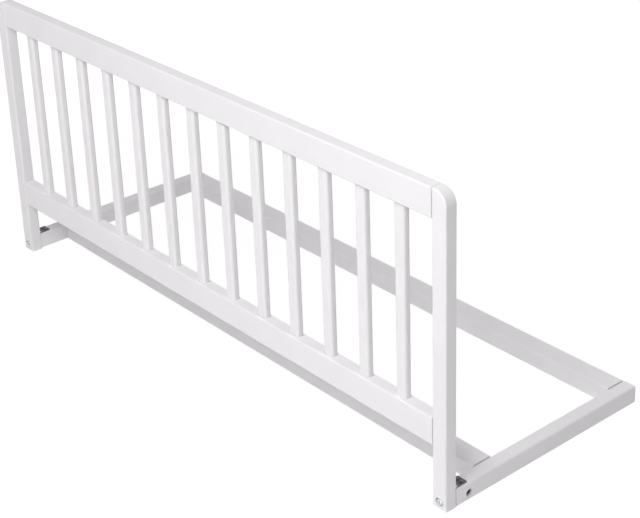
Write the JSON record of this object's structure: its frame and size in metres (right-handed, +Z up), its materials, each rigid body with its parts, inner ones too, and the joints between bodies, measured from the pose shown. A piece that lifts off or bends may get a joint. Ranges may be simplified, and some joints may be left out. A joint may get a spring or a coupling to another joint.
{
  "type": "folding bed guard rail",
  "caption": "White lacquered wooden guard rail for a child's bed: a slatted panel hinged to a flat base frame that lies under the mattress.",
  "frame": {"origin": "on the bed base, at the middle of the whole rail's footprint with the panel upright", "axes": "+X along the rail to the right as seen from outside the bed, +Y in under the mattress, +Z up"},
  "size_m": [1, 0.364, 0.437],
  "materials": {
    "white_lacquer": "opaque white lacquer, satin, softly rounded edges",
    "beech_dowel": "bare turned beech, hidden in the joints",
    "hinge_steel": "steel of the hinges, their top screws and the cross dowels, dark zinc plated",
    "zinc_fastener": "bright zinc plated steel"
  },
  "bodies": {
    "base_frame": {"left_arm": "white_lacquer", "right_arm": "white_lacquer", "front_base_rail": "white_lacquer", "rear_base_rail": "white_lacquer", "left_front_base_dowel_a": "beech_dowel", "left_front_base_dowel_b": "beech_dowel", "left_rear_base_dowel_a": "beech_dowel", "left_rear_base_dowel_b": "beech_dowel", "right_front_base_dowel_a": "beech_dowel", "right_front_base_dowel_b": "beech_dowel", "right_rear_base_dowel_a": "beech_dowel", "right_rear_base_dowel_b": "beech_dowel", "left_hinge_arm_plate": "hinge_steel", "left_cross_dowel": "hinge_steel", "left_plate_screw_1": "hinge_steel", "left_plate_screw_2": "hinge_steel", "right_hinge_arm_plate": "hinge_steel", "right_cross_dowel": "hinge_steel", "right_plate_screw_1": "hinge_steel", "right_plate_screw_2": "hinge_steel", "left_hinge_pin": "zinc_fastener", "left_arm_bolt": "zinc_fastener", "right_hinge_pin": "zinc_fastener", "right_arm_bolt": "zinc_fastener"},
    "guard_panel": {"left_post": "white_lacquer", "right_post": "white_lacquer", "top_rail": "white_lacquer", "bottom_rail": "white_lacquer", "slat_01": "white_lacquer", "slat_02": "white_lacquer", "slat_03": "white_lacquer", "slat_04": "white_lacquer", "slat_05": "white_lacquer", "slat_06": "white_lacquer", "slat_07": "white_lacquer", "slat_08": "white_lacquer", "slat_09": "white_lacquer", "slat_10": "white_lacquer", "slat_11": "white_lacquer", "slat_12": "white_lacquer", "slat_13": "white_lacquer", "left_top_rail_dowel_a": "beech_dowel", "left_top_rail_dowel_b": "beech_dowel", "left_bottom_rail_dowel_a": "beech_dowel", "left_bottom_rail_dowel_b": "beech_dowel", "right_top_rail_dowel_a": "beech_dowel", "right_top_rail_dowel_b": "beech_dowel", "right_bottom_rail_dowel_a": "beech_dowel", "right_bottom_rail_dowel_b": "beech_dowel", "left_hinge_post_plate": "hinge_steel", "right_hinge_post_plate": "hinge_steel", "left_post_bolt": "zinc_fastener", "left_post_screw": "zinc_fastener", "right_post_bolt": "zinc_fastener", "right_post_screw": "zinc_fastener"}
  },
  "joints": [
    {"name": "panel_fold", "type": "hinge", "parent": "base_frame", "child": "guard_panel", "pos_m": [0, -0.1615, 0.0293], "axis": [-1, 0, 0], "range_deg": [0, 90.5]}
  ]
}
